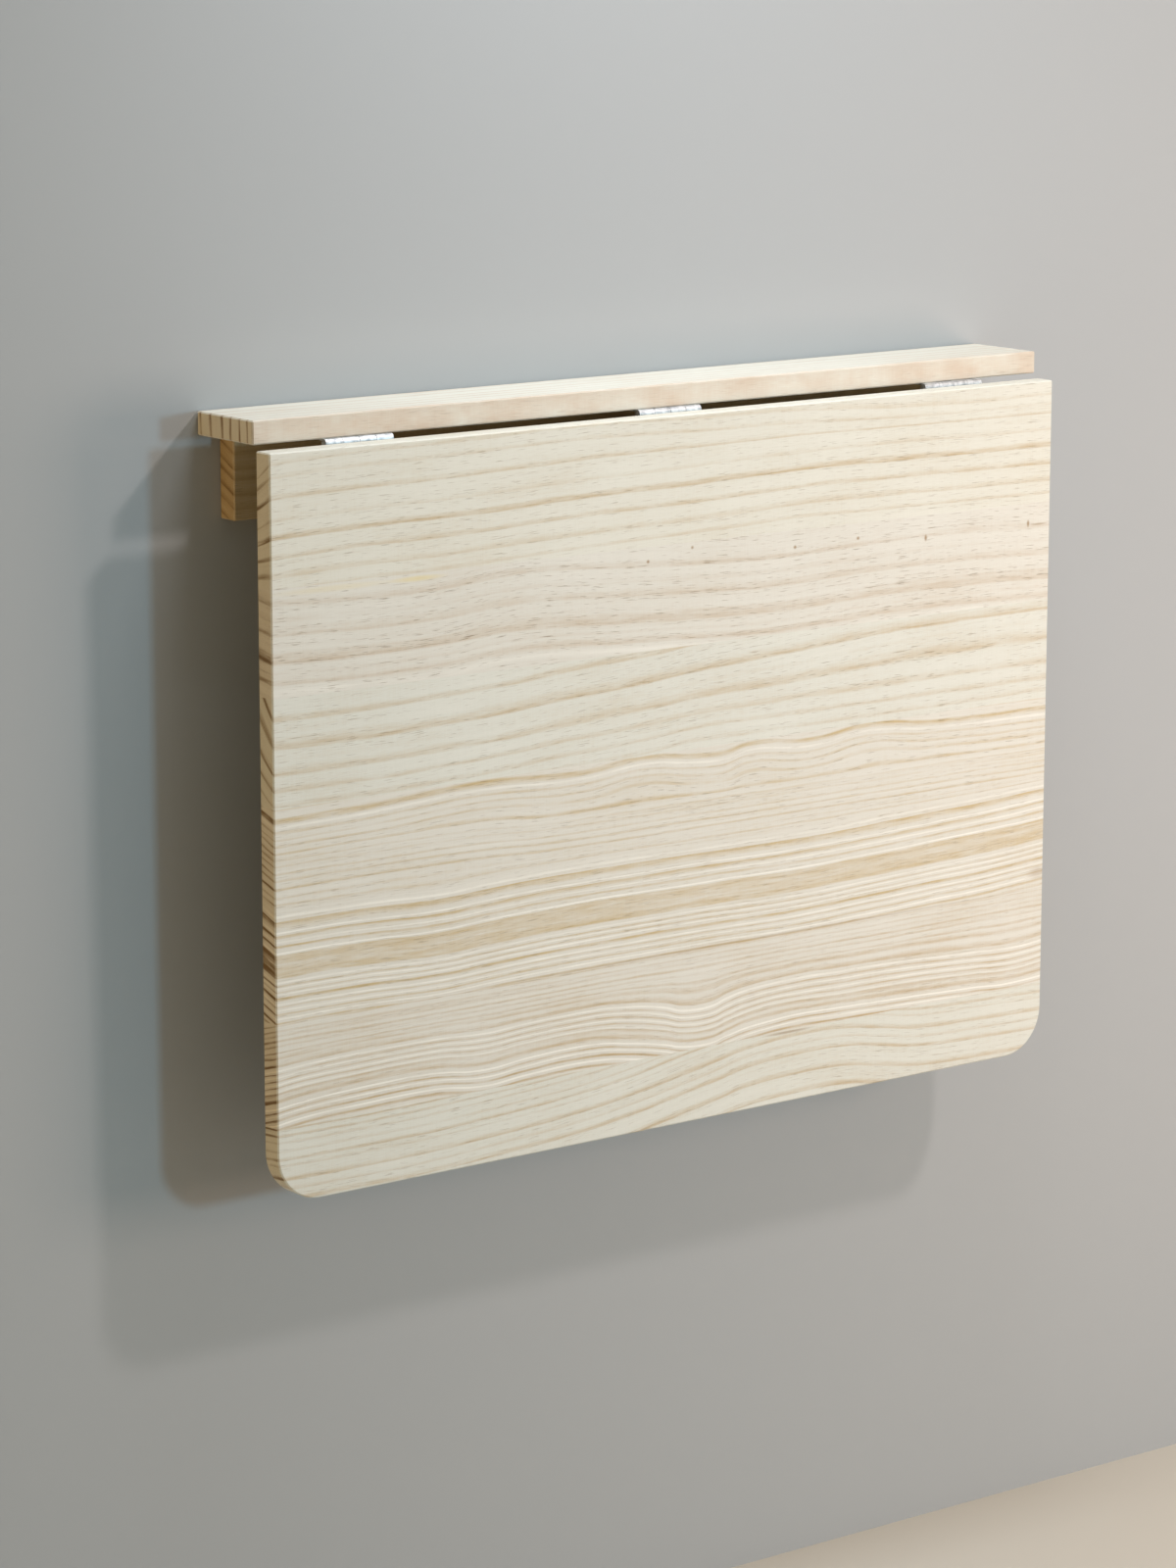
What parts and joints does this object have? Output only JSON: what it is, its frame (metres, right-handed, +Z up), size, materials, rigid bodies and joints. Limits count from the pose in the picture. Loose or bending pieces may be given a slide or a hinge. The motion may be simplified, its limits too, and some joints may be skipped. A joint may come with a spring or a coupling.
{
  "type": "wall mounted drop leaf table",
  "caption": "Narrow solid pine wall shelf with a hinged drop leaf that hangs flat below it and swings up level, carried by a hinged prop frame, to make a table.",
  "frame": {"origin": "middle of the upper line of wall screw holes, on the wall plane", "axes": "+X along the wall to the right as seen from the room, +Y into the wall, +Z up"},
  "size_m": [0.6, 0.075, 0.459],
  "materials": {
    "pine_shelf": "sanded pine, unfinished",
    "pine_leaf": "sanded edge-glued pine, unfinished",
    "pine_support": "sanded pine, unfinished",
    "pine_catch": "sawn pine, unfinished",
    "beech_dowel": "turned beech",
    "zinc_hinge": "bright zinc plated rolled steel",
    "zinc_screw": "bright zinc plated"
  },
  "bodies": {
    "wall_frame": {"rail_board": "pine_shelf", "wall_batten": "pine_shelf", "lower_batten": "pine_support", "rail_dowels": "beech_dowel", "left_wall_stile": "pine_support", "right_wall_stile": "pine_support", "rail_hinge_screws": "zinc_screw", "batten_hinge_screws": "zinc_screw", "left_hinge_rail_plate": "zinc_hinge", "left_hinge_pin": "zinc_hinge", "middle_hinge_rail_plate": "zinc_hinge", "middle_hinge_pin": "zinc_hinge", "right_hinge_rail_plate": "zinc_hinge", "right_hinge_pin": "zinc_hinge", "left_prop_hinge_batten_plate": "zinc_hinge", "left_prop_hinge_pin": "zinc_hinge", "right_prop_hinge_batten_plate": "zinc_hinge", "right_prop_hinge_pin": "zinc_hinge"},
    "drop_leaf": {"leaf_stave_1": "pine_leaf", "leaf_stave_2": "pine_leaf", "leaf_stave_3": "pine_leaf", "leaf_stave_4": "pine_leaf", "leaf_stave_5": "pine_leaf", "leaf_stave_6": "pine_leaf", "leaf_hinge_screws": "zinc_screw", "left_catch": "pine_catch", "right_catch": "pine_catch", "left_hinge_leaf_plate": "zinc_hinge", "middle_hinge_leaf_plate": "zinc_hinge", "right_hinge_leaf_plate": "zinc_hinge"},
    "prop_frame": {"prop_rail": "pine_support", "left_prop_stile": "pine_support", "right_prop_stile": "pine_support", "support_bar": "pine_support", "prop_hinge_screws": "zinc_screw", "left_prop_hinge_frame_plate": "zinc_hinge", "right_prop_hinge_frame_plate": "zinc_hinge"}
  },
  "joints": [
    {"name": "leaf_swing", "type": "hinge", "parent": "wall_frame", "child": "drop_leaf", "pos_m": [0, -0.0585, 0.0225], "axis": [-1, 0, 0], "range_deg": [0, 90]},
    {"name": "prop_swing", "type": "hinge", "parent": "wall_frame", "child": "prop_frame", "pos_m": [0, -0.0165, -0.1125], "axis": [-1, 0, 0], "range_deg": [0, 119]}
  ],
  "couplings": [
    {"joint": "prop_swing", "follows": "leaf_swing", "ratio": 1.3186}
  ]
}
